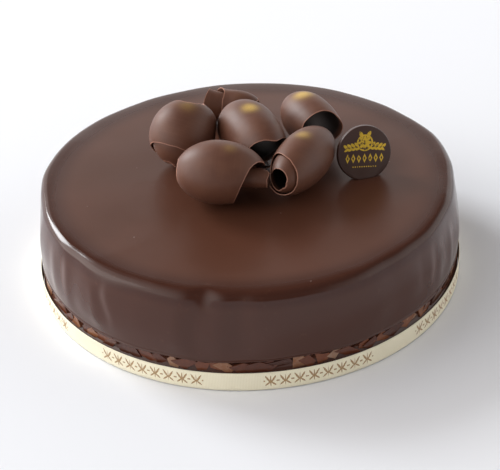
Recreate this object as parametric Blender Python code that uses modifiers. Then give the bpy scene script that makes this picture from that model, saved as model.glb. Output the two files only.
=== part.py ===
"""A round glazed chocolate cake with a ribbon round its foot, six rolled curls and a chocolate disc.

Metres, +Z up. The origin is on the cake's axis, at the level it rests on, and -Y is the front.
"""

import math
import random

import bpy
from mathutils import Euler, Matrix, Vector

# Driving dimensions
CAKE_RADIUS = 0.1086
CAKE_HEIGHT = 0.0508
TOP_ROUNDING = 0.0034
LIP_HEIGHT = 0.0154  # where the glaze ends, above the band of flakes
BAND_RADIUS = 0.1082
FOOT_RADIUS = 0.1093
FOOT_HEIGHT = 0.0097
FLAKE_COUNT = 38
FLAKE_THICKNESS = 0.0016
RIBBON_WIDTH = 0.0098
RIBBON_THICKNESS = 0.00035
CHOCOLATE_THICKNESS = 0.0011
DISC_RADIUS = 0.0142
DISC_THICKNESS = 0.0032
GAP = 0.0003  # between pieces that touch

# How fine the solids are
CAKE_STEPS = 72
ROUNDING_STEPS = 5
RIBBON_STEPS = 72
TURN_STEPS = 15  # to each turn of a curl
LENGTH_STEPS = 10  # along a curl
MERGE = 0.00001

COLOURS = {
    "glaze": ((0.075, 0.032, 0.020), 0.18),
    "curl": ((0.115, 0.050, 0.032), 0.42),
    "disc": ((0.045, 0.020, 0.016), 0.35),
    "ribbon": ((0.780, 0.720, 0.580), 0.55),
}

# Waves of the poured side: how many go round, how deep, and where they start
SIDE_WAVES = (
    (2, 0.00020, 0.6),
    (3, 0.00030, 2.2),
    (5, 0.00035, 4.1),
    (9, 0.00022, 1.3),
    (14, 0.00020, 5.2),
    (19, 0.00016, 0.4),
)
# Dents of the poured side: the angle in degrees from the front, the width in degrees, and the depth
SIDE_DENTS = ((-14.5, 2.6, 0.0006), (-3.0, 3.4, 0.0012), (38.0, 4.0, 0.0007), (-52.0, 4.5, 0.0008))


class Curl:
    """A sheet of chocolate rolled up into a barrel, lying on the cake.

    at is the place of its middle, heading the direction of its axis from above and tilt its rise, in
    degrees. turns and start say how far it is rolled and where its inner edge lies, and hand which way.
    step is the distance between two turns. Over the turns that over gives, counted from the outer edge,
    the roll narrows by tuck, and its high end moves sideways and up by drift. taper is how strongly the
    barrel narrows towards its two ends, and core how much less the inner turns do. low and high are the
    reach of the sheet towards its two ends, as shares of half its length, at even steps from its inner
    to its outer edge.
    """

    def __init__(self, name, at, heading, tilt, length, radius, turns, start, hand, step, tuck, over, taper,
                 core, drift, low, high):
        self.name = name
        self.at = at
        self.heading = heading
        self.tilt = tilt
        self.length = length
        self.radius = radius
        self.turns = turns
        self.start = start
        self.hand = hand
        self.step = step
        self.tuck = tuck
        self.over = over
        self.taper = taper
        self.core = core
        self.drift = drift
        self.low = low
        self.high = high


CURLS = (
    Curl(
        name="curl_left", at=(-0.0326, 0.0165), heading=60.4, tilt=42.3, length=0.0367, radius=0.0177,
        turns=39 / TURN_STEPS, start=28, hand=1, step=0.0017, tuck=0.005, over=(1.55, 2.0),
        taper=(1.02, 0.84), core=(0.12, 0), drift=(0, 0),
        low=(1.03, 1.03, 1.03, 1.03, 1.03, 1.03, 1.03, 0.94, 0.67, 0.56, 0.53, 0.48),
        high=(0.91, 0.95, 0.97, 0.97, 0.93, 0.86, 0.82, 0.84, 0.84, 0.85, 0.87, 0.85),
    ),
    Curl(
        name="curl_front", at=(-0.0138, -0.0234), heading=-10.4, tilt=0, length=0.0519, radius=0.0171,
        turns=34 / TURN_STEPS, start=26, hand=-1, step=0.0019, tuck=0.0085, over=(1.0, 1.38),
        taper=(1.34, 1.083), core=(0, 0.75), drift=(0, -0.0022),
        low=(0.79, 0.77, 0.78, 0.80, 0.82, 0.84, 0.82, 0.81, 0.80, 0.78, 0.77, 0.76),
        high=(1.11, 1.11, 1.10, 1.09, 1.05, 0.30, 0.23, 0.37, 0.64, 0.87, 0.84, 0.20),
    ),
    Curl(
        name="curl_middle", at=(0.003, 0.0172), heading=-68.0, tilt=0, length=0.0535, radius=0.0165,
        turns=25 / TURN_STEPS, start=50, hand=1, step=0.0022, tuck=0.002, over=(1.0, 1.35),
        taper=(1.3, 0.56), core=(0, 0), drift=(0, 0),
        low=(0.86, 0.85, 0.85, 0.85, 0.85, 0.84, 0.83, 0.82, 0.81, 0.80, 0.78, 0.76),
        high=(0.44, 0.44, 0.43, 0.46, 0.48, 0.55, 0.86, 1.12, 1.00, 0.83, 0.68, 0.58),
    ),
    Curl(
        name="curl_back_right", at=(0.035, 0.0323), heading=-66.2, tilt=0, length=0.044, radius=0.0142,
        turns=24 / TURN_STEPS, start=74, hand=1, step=0.0022, tuck=0.002, over=(1.0, 1.35),
        taper=(0.92, 0.44), core=(0, 0), drift=(0, 0),
        low=(0.96, 0.94, 0.96, 0.97, 0.97, 0.96, 0.94, 0.93, 0.89, 0.88, 0.85, 0.82),
        high=(0.11, 0.11, 0.16, 0.32, 0.58, 0.81, 0.90, 0.71, 0.67, 0.61, 0.58, 0.57),
    ),
    Curl(
        name="curl_right", at=(0.0288, -0.0091), heading=241.2, tilt=0, length=0.0564, radius=0.0142,
        turns=28 / TURN_STEPS, start=167, hand=-1, step=0.0016, tuck=0.0, over=(0.85, 1.3),
        taper=(1.09, 0.87), core=(0, 0.05), drift=(0, 0),
        low=(0.94, 0.94, 0.94, 0.94, 0.94, 0.94, 0.94, 0.94, 0.92, 0.91, 0.88, 0.85),
        high=(0.88, 0.92, 1.00, 1.05, 1.05, 0.86, 0.46, 0.65, 0.79, 0.89, 0.90, 0.82),
    ),
    Curl(
        name="curl_back", at=(-0.005, 0.0568), heading=-12.0, tilt=0, length=0.0322, radius=0.0102,
        turns=24 / TURN_STEPS, start=80, hand=1, step=0.0022, tuck=0, over=(1.0, 1.35),
        taper=(-0.8, 0.88), core=(0, 0), drift=(0, 0),
        low=(1.05, 1.12, 1.12, 1.12, 1.10, 1.00, 0.70, 0.34, 0.32, 0.30, 0.35, 0.47),
        high=(0.95, 0.97, 0.98, 0.99, 0.97, 0.95, 0.93, 0.91, 0.89, 0.87, 0.84, 0.79),
    ),
)

DISC_AT = (0.0600, -0.0030)
DISC_TURN = 14  # degrees that its face looks to the right of the front
DISC_LEAN = 16  # degrees that it leans back


def clear_scene():
    for obj in list(bpy.data.objects):
        bpy.data.objects.remove(obj)


def collection(name):
    made = bpy.data.collections.new(name)
    bpy.context.scene.collection.children.link(made)
    return made


def material(name):
    colour, roughness = COLOURS[name]
    made = bpy.data.materials.new(name)
    made.use_nodes = True
    shader = made.node_tree.nodes["Principled BSDF"]
    shader.inputs["Base Color"].default_value = (*colour, 1)
    shader.inputs["Roughness"].default_value = roughness
    shader.inputs["Metallic"].default_value = 0
    return made


def add_object(name, mesh, home, look):
    obj = bpy.data.objects.new(name, mesh)
    home.objects.link(obj)
    mesh.materials.clear()
    mesh.materials.append(look)
    return obj


def evaluated_mesh(obj):
    """The object's mesh with its modifiers applied, and the object gone."""
    bpy.context.view_layer.update()
    graph = bpy.context.evaluated_depsgraph_get()
    mesh = bpy.data.meshes.new_from_object(obj.evaluated_get(graph))
    bpy.data.objects.remove(obj)
    return mesh


def turned(profile, steps):
    """A closed mesh turned from an (r, z) profile that runs from the axis at the top down to the axis."""
    mesh = bpy.data.meshes.new("profile")
    mesh.from_pydata([(r, 0, z) for r, z in profile], [(i, i + 1) for i in range(len(profile) - 1)], [])
    obj = bpy.data.objects.new("profile", mesh)
    bpy.context.scene.collection.objects.link(obj)
    screw = obj.modifiers.new("turn", "SCREW")
    screw.steps = screw.render_steps = steps
    screw.use_merge_vertices = True
    screw.merge_threshold = MERGE
    return evaluated_mesh(obj)


def move_points(mesh, place):
    """Puts each point of the mesh where place says."""
    for vertex in mesh.vertices:
        vertex.co = place(vertex.co)


def eased(share):
    """A smooth step from 0 to 1."""
    share = min(max(share, 0), 1)
    return share * share * (3 - 2 * share)


def side_wave(angle, height):
    """How far the poured side stands out at an angle from the front and a height, in metres."""
    out = sum(deep * math.cos(count * angle + start) for count, deep, start in SIDE_WAVES)
    for at, width, deep in SIDE_DENTS:
        apart = (math.degrees(angle) - at + 180) % 360 - 180
        out -= deep * math.exp(-((apart / width) ** 2))
    return out * eased((height - LIP_HEIGHT) / 0.010) * (1 - 0.3 * eased((height - 0.040) / 0.010))


def waved(point):
    """A point of the turned cake moved by the waves of its side, which fade out towards the middle."""
    reach = math.hypot(point.x, point.y)
    if reach < MERGE:
        return point
    angle = math.atan2(point.x, -point.y)
    fade = min(max((reach / CAKE_RADIUS - 0.8) / 0.2, 0), 1)
    grow = 1 + fade * side_wave(angle, point.z) / reach
    return Vector((point.x * grow, point.y * grow, point.z))


def cake_profile():
    """From the middle of the top over the rounded rim to the lip of the glaze, the band and the foot."""
    centre = (CAKE_RADIUS - TOP_ROUNDING, CAKE_HEIGHT - TOP_ROUNDING)
    profile = [(0, CAKE_HEIGHT), (0.080, CAKE_HEIGHT)]
    for step in range(ROUNDING_STEPS + 1):
        a = math.radians(90 * (1 - step / ROUNDING_STEPS))
        profile.append((centre[0] + TOP_ROUNDING * math.cos(a), centre[1] + TOP_ROUNDING * math.sin(a)))
    profile += [
        (CAKE_RADIUS + 0.0001, 0.036),
        (CAKE_RADIUS + 0.0002, 0.027),
        (CAKE_RADIUS + 0.0004, 0.019),
        (CAKE_RADIUS + 0.0003, LIP_HEIGHT + 0.0008),
        (BAND_RADIUS, LIP_HEIGHT),
        (BAND_RADIUS, FOOT_HEIGHT + 0.0004),
        (FOOT_RADIUS - 0.0002, FOOT_HEIGHT),
        (FOOT_RADIUS, FOOT_HEIGHT - 0.0004),
        (FOOT_RADIUS, 0.0006),
        (FOOT_RADIUS - 0.0006, 0),
        (0, 0),
    ]
    return profile


def move_to(obj, home):
    for old in list(obj.users_collection):
        old.objects.unlink(obj)
    home.objects.link(obj)


def make_flakes(home):
    """The flakes of chocolate pressed round the cake above the ribbon, one slab each."""
    chance = random.Random(7)
    for number in range(FLAKE_COUNT):
        angle = 2 * math.pi * (number + chance.uniform(-0.12, 0.12)) / FLAKE_COUNT
        width = chance.uniform(0.0095, 0.0135)
        low = FOOT_HEIGHT - 0.0002 + chance.uniform(0, 0.0008)
        high = LIP_HEIGHT + chance.uniform(-0.0006, 0.0006)
        out = FOOT_RADIUS - chance.uniform(0.0002, 0.0006)
        bpy.ops.mesh.primitive_cube_add(size=1)
        slab = bpy.context.active_object
        size = Matrix.Diagonal((width, FLAKE_THICKNESS, high - low, 1))
        tip = Matrix.Rotation(math.radians(chance.uniform(-2.5, 2.5)), 4, "Y")
        lean = Matrix.Rotation(math.radians(chance.uniform(-4, 4)), 4, "X")
        turn = Matrix.Rotation(angle, 4, "Z")
        place = Matrix.Translation((0, FLAKE_THICKNESS / 2 - out, (low + high) / 2))
        slab.data.transform(turn @ place @ tip @ lean @ size)
        move_to(slab, home)


def make_cake(home):
    """The cake with its flakes, which one union makes into one solid."""
    mesh = turned(cake_profile(), CAKE_STEPS)
    move_points(mesh, waved)
    plain = bpy.data.objects.new("plain_cake", mesh)
    bpy.context.scene.collection.objects.link(plain)
    flakes = collection("flakes")
    make_flakes(flakes)
    join = plain.modifiers.new("flakes", "BOOLEAN")
    join.operation = "UNION"
    join.operand_type = "COLLECTION"
    join.collection = flakes
    mesh = evaluated_mesh(plain)
    for slab in list(flakes.objects):
        bpy.data.objects.remove(slab)
    bpy.data.collections.remove(flakes)
    mesh.shade_smooth()
    return add_object("cake", mesh, home, material("glaze"))


def make_ribbon(home):
    """A flat ribbon standing round the foot, whose outer end laps over its inner end at the back."""
    lap = math.radians(9)
    whole = 2 * math.pi + lap
    inner = FOOT_RADIUS + GAP + RIBBON_THICKNESS
    step_out = RIBBON_THICKNESS + GAP
    bpy.ops.mesh.primitive_grid_add(x_subdivisions=RIBBON_STEPS, y_subdivisions=1, size=2)
    obj = bpy.context.active_object
    mesh = obj.data

    def wrap(point):
        share = (point.x + 1) / 2
        angle = math.pi + share * whole
        reach = inner + step_out * eased((share * whole - 2 * math.pi + 2 * lap) / (1.6 * lap))
        height = GAP + RIBBON_WIDTH * (point.y + 1) / 2
        return Vector((reach * math.sin(angle), -reach * math.cos(angle), height))

    move_points(mesh, wrap)
    mesh.flip_normals()
    bpy.data.objects.remove(obj)
    ribbon = add_object("ribbon", mesh, home, material("ribbon"))
    wall = ribbon.modifiers.new("thickness", "SOLIDIFY")
    wall.thickness = RIBBON_THICKNESS
    wall.offset = -1
    return ribbon


def through(values, share):
    """A smooth curve through values at even steps."""
    place = min(max(share, 0), 1) * (len(values) - 1)
    first = min(int(place), len(values) - 2)
    part = place - first
    before = values[max(first - 1, 0)]
    here = values[first]
    there = values[first + 1]
    after = values[min(first + 2, len(values) - 1)]
    bend = (there - before) * part
    bend += (2 * before - 5 * here + 4 * there - after) * part**2
    bend += (3 * here - before - 3 * there + after) * part**3
    return here + bend / 2


def rolled(curl, share, across):
    """A point of a curl's outer face: share runs from inner to outer edge, across from end to end."""
    low = through(curl.low, share)
    high = through(curl.high, share)
    along = -low + (low + high) * (math.sin(1.2 * across) / math.sin(1.2) + 1) / 2
    laps = curl.turns * (1 - share)
    tucked = eased((laps - curl.over[0]) / (curl.over[1] - curl.over[0]))
    end = 0 if along < 0 else 1
    taper = curl.taper[end] * (1 - curl.core[end] * eased((laps - 1) / 0.35))
    belly = math.sqrt(max(1 - taper * along * along, 0.02))
    reach = (curl.radius - curl.step * laps - curl.tuck * tucked) * belly
    angle = math.radians(curl.start + curl.hand * 360 * curl.turns * share)
    moved = tucked * (1 + along) / 2
    return Vector((
        (curl.length / 2 - curl.step * laps) * along,
        reach * math.cos(angle) + curl.drift[0] * moved,
        reach * math.sin(angle) + curl.drift[1] * moved,
    ))


def make_curl(curl, home, look):
    steps = round(TURN_STEPS * curl.turns)
    bpy.ops.mesh.primitive_grid_add(x_subdivisions=steps, y_subdivisions=LENGTH_STEPS, size=2)
    obj = bpy.context.active_object
    mesh = obj.data
    move_points(mesh, lambda point: rolled(curl, (point.x + 1) / 2, point.y))
    if curl.hand < 0:
        mesh.flip_normals()
    mesh.shade_smooth()
    wall = obj.modifiers.new("thickness", "SOLIDIFY")
    wall.thickness = CHOCOLATE_THICKNESS
    wall.offset = -1
    mesh = evaluated_mesh(obj)
    turn = Euler((0, math.radians(-curl.tilt), math.radians(curl.heading))).to_matrix().to_4x4()
    lowest = min((turn @ vertex.co).z for vertex in mesh.vertices)
    made = add_object(curl.name, mesh, home, look)
    made.matrix_world = Matrix.Translation((*curl.at, CAKE_HEIGHT + GAP - lowest)) @ turn
    return made


def make_disc(home, helpers):
    """A chocolate disc that stands on its edge, pressed a little into the glaze: its foot is flat."""
    bpy.ops.mesh.primitive_cylinder_add(vertices=48, radius=DISC_RADIUS, depth=DISC_THICKNESS)
    obj = bpy.context.active_object
    mesh = obj.data
    bpy.data.objects.remove(obj)
    disc = add_object("disc", mesh, home, material("disc"))
    sunk = 0.0014
    upright = Euler((math.radians(90 - DISC_LEAN), 0, math.radians(DISC_TURN))).to_matrix().to_4x4()
    centre = CAKE_HEIGHT + (DISC_RADIUS - sunk) * math.cos(math.radians(DISC_LEAN))
    disc.matrix_world = Matrix.Translation((*DISC_AT, centre)) @ upright
    edge = disc.modifiers.new("rounded edge", "BEVEL")
    edge.width = 0.0007
    edge.segments = 2
    edge.limit_method = "ANGLE"
    bpy.ops.mesh.primitive_cube_add(size=0.04, location=(*DISC_AT, CAKE_HEIGHT + GAP - 0.02))
    below = bpy.context.active_object
    below.name = "cut_below_disc"
    move_to(below, helpers)
    below.hide_render = True
    below.display_type = "WIRE"
    cut = disc.modifiers.new("flat foot", "BOOLEAN")
    cut.object = below
    cut.operation = "DIFFERENCE"
    return disc


def main():
    clear_scene()
    home = collection("chocolate_cake")
    helpers = collection("helpers")
    make_cake(home)
    make_ribbon(home)
    look = material("curl")
    for curl in CURLS:
        make_curl(curl, home, look)
    make_disc(home, helpers)


main()
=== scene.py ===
"""Looks of the glazed chocolate cake: glaze, flakes, ribbon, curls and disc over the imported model.

Metres, +Z up. The origin is on the cake's axis at the level it rests on, and -Y is the front.
"""

import math
import random
from typing import NamedTuple

import bpy
from mathutils import Euler, Matrix, Vector, noise


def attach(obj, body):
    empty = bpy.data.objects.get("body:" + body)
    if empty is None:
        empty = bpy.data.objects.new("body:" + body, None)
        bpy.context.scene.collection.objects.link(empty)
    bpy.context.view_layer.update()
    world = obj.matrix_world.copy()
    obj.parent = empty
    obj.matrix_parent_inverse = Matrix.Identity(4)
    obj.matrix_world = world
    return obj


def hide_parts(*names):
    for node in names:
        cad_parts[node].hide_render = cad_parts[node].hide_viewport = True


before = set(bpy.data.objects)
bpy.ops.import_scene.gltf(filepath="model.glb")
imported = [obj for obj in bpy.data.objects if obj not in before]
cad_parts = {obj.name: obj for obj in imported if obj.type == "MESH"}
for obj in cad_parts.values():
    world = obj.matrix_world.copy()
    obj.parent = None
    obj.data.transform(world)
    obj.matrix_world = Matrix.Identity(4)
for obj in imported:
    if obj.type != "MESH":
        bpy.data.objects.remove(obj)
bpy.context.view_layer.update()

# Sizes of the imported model
CAKE_RADIUS = 0.1086
CAKE_HEIGHT = 0.0508
TOP_ROUNDING = 0.0034
LIP_HEIGHT = 0.0154  # where the glaze ends, above the band of flakes
BAND_RADIUS = 0.1082
FOOT_RADIUS = 0.1093
FOOT_HEIGHT = 0.0097
RIBBON_WIDTH = 0.0100
RIBBON_THICKNESS = 0.00035
RIBBON_BOTTOM = 0.0002
RIBBON_LAP = 9  # degrees by which the ribbon laps over its own start
CHOCOLATE_THICKNESS = 0.0011
DISC_RADIUS = 0.0142
DISC_THICKNESS = 0.0032
DISC_AT = (0.0600, -0.0030)
DISC_TURN = 14
DISC_LEAN = 16
DISC_SUNK = 0.0014
PRINT_TURN = 7  # degrees by which the ornament is turned on the disc's face
TURN_STEPS = 15  # the turns of a curl are whole steps of this
GAP = 0.0003

# Waves of the poured side: how many go round, how deep, and where they start
SIDE_WAVES = (
    (2, 0.00020, 0.6),
    (3, 0.00030, 2.2),
    (5, 0.00035, 4.1),
    (9, 0.00022, 1.3),
    (14, 0.00020, 5.2),
    (19, 0.00016, 0.4),
)
# Dents of the poured side: the angle in degrees from the front, the width in degrees, and the depth
SIDE_DENTS = ((-14.5, 2.6, 0.0006), (-3.0, 3.4, 0.0012), (38.0, 4.0, 0.0007), (-52.0, 4.5, 0.0008))
# Runs of glaze down the side: angle, width and slant in degrees, and how far each stands out
SIDE_RUNS = (
    (-78, 2.2, 1.0, 0.00030),
    (-64, 2.6, 3.0, 0.00042),
    (-56, 1.8, 2.0, 0.00024),
    (-45, 1.7, 4.5, 0.00040),
    (-30, 2.8, 1.5, 0.00022),
    (-19, 1.8, -1.0, 0.00034),
    (-9, 2.2, 0.5, 0.00030),
    (7, 3.0, 0.5, 0.00022),
    (24, 3.4, -1.0, 0.00022),
    (46, 2.6, -1.5, 0.00026),
    (59, 1.8, -2.0, 0.00036),
    (67, 1.5, -1.0, 0.00040),
    (76, 1.6, 0.0, 0.00032),
)
CAKE_STEPS = 480
# The rim leans in at the front: how far, and the angle, the width in degrees and the depth of each part
# that leans in more or less. It starts at a height of the side and at a reach of the top.
LEAN = 0.0042
RIM_LEANS = ((-40, 16, 0.0014), (10, 14, -0.0014), (-12, 2.8, 0.0022), (35, 5, 0.0008))
LEAN_HEIGHT = 0.026
LEAN_REACH = 0.085
# Small bubbles in the glaze of the top
BUBBLES = (
    (-0.0552, -0.0525),
    (-0.0570, 0.0140),
    (0.0046, -0.0128),
    (0.0160, -0.0370),
    (0.0745, 0.0080),
    (0.0270, -0.0960),
    (-0.0800, -0.0220),
)
BUBBLE = 0.00045  # radius of a bubble
# Painted reflections, thin pale streaks on the side: angle, width and slant in degrees, and strength
REFLECTION_STREAKS = (
    (-80, 1.8, 1.0, 0.5),
    (-66, 1.9, 3.0, 0.6),
    (-58, 1.2, 4.0, 0.7),
    (-41, 0.9, 5.0, 0.5),
    (49, 1.2, -1.5, 0.25),
    (56, 1.0, -4.0, 0.6),
    (62, 1.0, -1.0, 0.6),
    (69, 1.4, -1.0, 0.8),
    (76, 1.5, 0.0, 0.7),
)

RIB_PITCH = 0.00072
RIB_HEIGHT = 0.00006
PRINT_PERIOD = 0.0832
PRINT_LENGTH = 0.0552
PRINT_START = 0.2655

# Where the glaze changes its tone by painted shade, or its gloss, by reach or by height, from not at all
# to wholly
RIM_SHADE_REACH = (0.088, 0.1005)
RIM_SHADE_LEVEL = (0.040, 0.046)
SIDE_SHADE_LEVEL = (0.047, 0.040)
FLAT_REACH = (0.1020, 0.0960)
FLAT_LEVEL = (0.047, 0.050)

# The flat sheet of a curl: its steps, and how much the rows crowd towards its ends
SHEET_COLUMNS = 200
SHEET_ROWS = 64
CROWDING = 1.2
FLAP_TURNS = (0.42, 0.25)  # where the flap starts and over how many turns it grows
CURL_UNEVEN = 0.0004
EDGE_REACH = 0.004  # over how far a sheet gets thinner towards its edges
EDGE_SHARE = 0.36
EDGE_ROUNDING = 0.0001

MERGE = 0.00001

# Colours as a screen shows them, from 0 to 255
GLAZE_TONES = ((80, 48, 35), (87, 53, 40))
# Painted shade over the rim
GLAZE_RIM_SHADE = (58, 27, 17)
# Painted shade down the side
GLAZE_SIDE_SHADE = (62, 33, 24)
# Painted reflection in pale streaks on the side
GLAZE_REFLECTION = (158, 138, 134)
GLAZE_FINE = (98, 64, 50)
# Painted glint on the bubbles
GLAZE_BUBBLE_GLINT = (150, 116, 104)
# Tones of the flakes, the palest a painted highlight
FLAKE_TONES_AND_HIGHLIGHT = (
    (0.00, (62, 32, 24)),
    (0.30, (84, 44, 30)),
    (0.55, (108, 58, 34)),
    (0.78, (128, 82, 54)),
    (1.00, (146, 116, 96)),
)
CURL_TONES = ((90, 55, 41), (98, 62, 46))
CURL_SCRAPED = (108, 74, 60)
# Painted shade deep inside the rolls
CURL_INNER_SHADE = (26, 17, 14)
CURL_BROKEN = (176, 126, 106)
GOLD_DUST = (204, 170, 92)
DISC_TONES = ((56, 35, 29), (66, 43, 36))
DISC_GOLD = (214, 178, 62)
RIBBON_TONES = ((240, 232, 204), (250, 244, 220))
# Painted shade in the grooves between the ribs
RIBBON_GROOVE_SHADE = (218, 206, 168)
RIBBON_INK = (164, 128, 78)
FLOOR_TONES = ((233, 235, 240), (236, 238, 243))

# The camera, in metres, degrees and millimetres: how far away, how high and how turned it is
CAMERA_AWAY = 0.7
CAMERA_RISE = 33.06
CAMERA_ROLL = -2.78
CAMERA_AIM = (0.0004, 0, 0.0147)
CAMERA_LENS = 95.256
CAMERA_SENSOR = 36

# Soft panels: name, direction, size, power and colour
PANELS = (
    ("window", (-0.67, 0.56, 0.48), (1.8, 2.2), 195, (0.95, 0.98, 1.0)),
    ("left", (-0.95, 0.0, 0.35), (4.5, 3.0), 60, (1.0, 0.97, 0.94)),
)
PANEL_AWAY = 5.0
WORLD_STRENGTH = 0.8


class Curl(NamedTuple):
    """A sheet of chocolate rolled up into a barrel, lying on the cake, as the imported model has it.

    at is the place of its middle, heading the direction of its axis from above and tilt its rise, in
    degrees. turns and start say how far it is rolled and where its inner edge lies, and hand which way.
    step is the distance between two turns. Over the turns that over gives, counted from the outer edge,
    the roll narrows by tuck, and its high end moves sideways and up by drift. taper is how strongly the
    barrel narrows towards its two ends, and core how much less the inner turns do. low and high are the
    reach of the sheet towards its two ends, as shares of half its length, at even steps from its inner
    to its outer edge. ragged is how uneven its ends are. flap is how much further its outer edge reaches
    at the high end, and how far it stands off there. dust is the place, the size and the strength of the
    gold dust on it.
    """

    name: str
    at: tuple
    heading: float
    tilt: float
    length: float
    radius: float
    turns: float
    start: float
    hand: int
    step: float
    tuck: float
    over: tuple
    taper: tuple
    core: tuple
    drift: tuple
    low: tuple
    high: tuple
    ragged: float
    flap: tuple
    dust: tuple


CURLS = (
    Curl(
        name="curl_left", at=(-0.0326, 0.0165), heading=60.4, tilt=42.3, length=0.0367, radius=0.0177,
        turns=39 / TURN_STEPS, start=28, hand=1, step=0.0017, tuck=0.005, over=(1.55, 2.0),
        taper=(1.02, 0.84), core=(0.12, 0), drift=(0, 0),
        low=(1.03, 1.03, 1.03, 1.03, 1.03, 1.03, 1.03, 0.94, 0.67, 0.56, 0.53, 0.48),
        high=(0.91, 0.95, 0.97, 0.97, 0.93, 0.86, 0.82, 0.84, 0.84, 0.85, 0.87, 0.85),
        ragged=0.0007, flap=(0.15, 0.0026), dust=((-0.0280, 0.0159, 0.0848), 0.0052, 0.35),
    ),
    Curl(
        name="curl_front", at=(-0.0138, -0.0234), heading=-10.4, tilt=0, length=0.0519, radius=0.0171,
        turns=34 / TURN_STEPS, start=26, hand=-1, step=0.0019, tuck=0.0085, over=(1.0, 1.38),
        taper=(1.34, 1.083), core=(0, 0.75), drift=(0, -0.0022),
        low=(0.79, 0.77, 0.78, 0.80, 0.82, 0.84, 0.82, 0.81, 0.80, 0.78, 0.77, 0.76),
        high=(1.11, 1.11, 1.10, 1.09, 1.05, 0.30, 0.23, 0.37, 0.64, 0.87, 0.84, 0.20),
        ragged=0.0004, flap=(0, 0), dust=((-0.0071, -0.0260, 0.0826), 0.0042, 0.30),
    ),
    Curl(
        name="curl_middle", at=(0.0030, 0.0172), heading=-68.0, tilt=0, length=0.0535, radius=0.0165,
        turns=25 / TURN_STEPS, start=50, hand=1, step=0.0022, tuck=0.002, over=(1.0, 1.35),
        taper=(1.3, 0.56), core=(0, 0), drift=(0, 0),
        low=(0.86, 0.85, 0.85, 0.85, 0.85, 0.84, 0.83, 0.82, 0.81, 0.80, 0.78, 0.76),
        high=(0.44, 0.44, 0.43, 0.46, 0.48, 0.55, 0.86, 1.12, 1.00, 0.83, 0.68, 0.58),
        ragged=0.0004, flap=(0, 0), dust=((0.0036, 0.0150, 0.0827), 0.0046, 0.90),
    ),
    Curl(
        name="curl_back_right", at=(0.035, 0.0323), heading=-66.2, tilt=0, length=0.044, radius=0.0142,
        turns=24 / TURN_STEPS, start=74, hand=1, step=0.0022, tuck=0.002, over=(1.0, 1.35),
        taper=(0.92, 0.44), core=(0, 0), drift=(0, 0),
        low=(0.96, 0.94, 0.96, 0.97, 0.97, 0.96, 0.94, 0.93, 0.89, 0.88, 0.85, 0.82),
        high=(0.11, 0.11, 0.16, 0.32, 0.58, 0.81, 0.90, 0.71, 0.67, 0.61, 0.58, 0.57),
        ragged=0.0005, flap=(0, 0), dust=((0.0319, 0.0368, 0.0777), 0.0056, 0.90),
    ),
    Curl(
        name="curl_right", at=(0.0288, -0.0091), heading=241.2, tilt=0, length=0.0564, radius=0.0142,
        turns=28 / TURN_STEPS, start=167, hand=-1, step=0.0016, tuck=0.0, over=(0.85, 1.3),
        taper=(1.09, 0.87), core=(0, 0.05), drift=(0, 0),
        low=(0.94, 0.94, 0.94, 0.94, 0.94, 0.94, 0.94, 0.94, 0.92, 0.91, 0.88, 0.85),
        high=(0.88, 0.92, 1.00, 1.05, 1.05, 0.86, 0.46, 0.65, 0.79, 0.89, 0.90, 0.82),
        ragged=0.0005, flap=(0, 0), dust=((0.0292, -0.0081, 0.0779), 0.0044, 0.60),
    ),
    Curl(
        name="curl_back", at=(-0.005, 0.0568), heading=-12.0, tilt=0, length=0.0322, radius=0.0102,
        turns=24 / TURN_STEPS, start=80, hand=1, step=0.0022, tuck=0, over=(1.0, 1.35),
        taper=(-0.8, 0.88), core=(0, 0), drift=(0, 0),
        low=(1.05, 1.12, 1.12, 1.12, 1.10, 1.00, 0.70, 0.34, 0.32, 0.30, 0.35, 0.47),
        high=(0.95, 0.97, 0.98, 0.99, 0.97, 0.95, 0.93, 0.91, 0.89, 0.87, 0.84, 0.79),
        ragged=0.0006, flap=(0, 0), dust=((-0.0025, 0.0535, 0.0699), 0.0030, 0.10),
    ),
)


# Node trees


def socket_called(sockets, key):
    """The socket at a number, or the first with a name or an identifier."""
    if isinstance(key, int):
        return sockets[key]
    return next(s for s in sockets if key in (s.name, s.identifier))


class Val:
    """A socket of a node tree. Python's operators on it add Math nodes."""

    def __init__(self, tree, socket):
        self.tree = tree
        self.socket = socket

    def also(self, key):
        """Another output of the same node."""
        return Val(self.tree, socket_called(self.socket.node.outputs, key))

    def math(self, operation, *values):
        return self.tree.node("ShaderNodeMath", {"operation": operation}, dict(enumerate(values)))

    def __add__(self, other):
        return self.math("ADD", self, other)

    def __sub__(self, other):
        return self.math("SUBTRACT", self, other)

    def __rsub__(self, other):
        return self.math("SUBTRACT", other, self)

    def __mul__(self, other):
        return self.math("MULTIPLY", self, other)

    def __truediv__(self, other):
        return self.math("DIVIDE", self, other)

    def __rtruediv__(self, other):
        return self.math("DIVIDE", other, self)

    def __pow__(self, other):
        return self.math("POWER", self, other)

    def __neg__(self):
        return self.math("MULTIPLY", self, -1)

    def __gt__(self, other):
        return self.math("GREATER_THAN", self, other)

    def __abs__(self):
        return self.math("ABSOLUTE", self)

    __radd__ = __add__
    __rmul__ = __mul__


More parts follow.
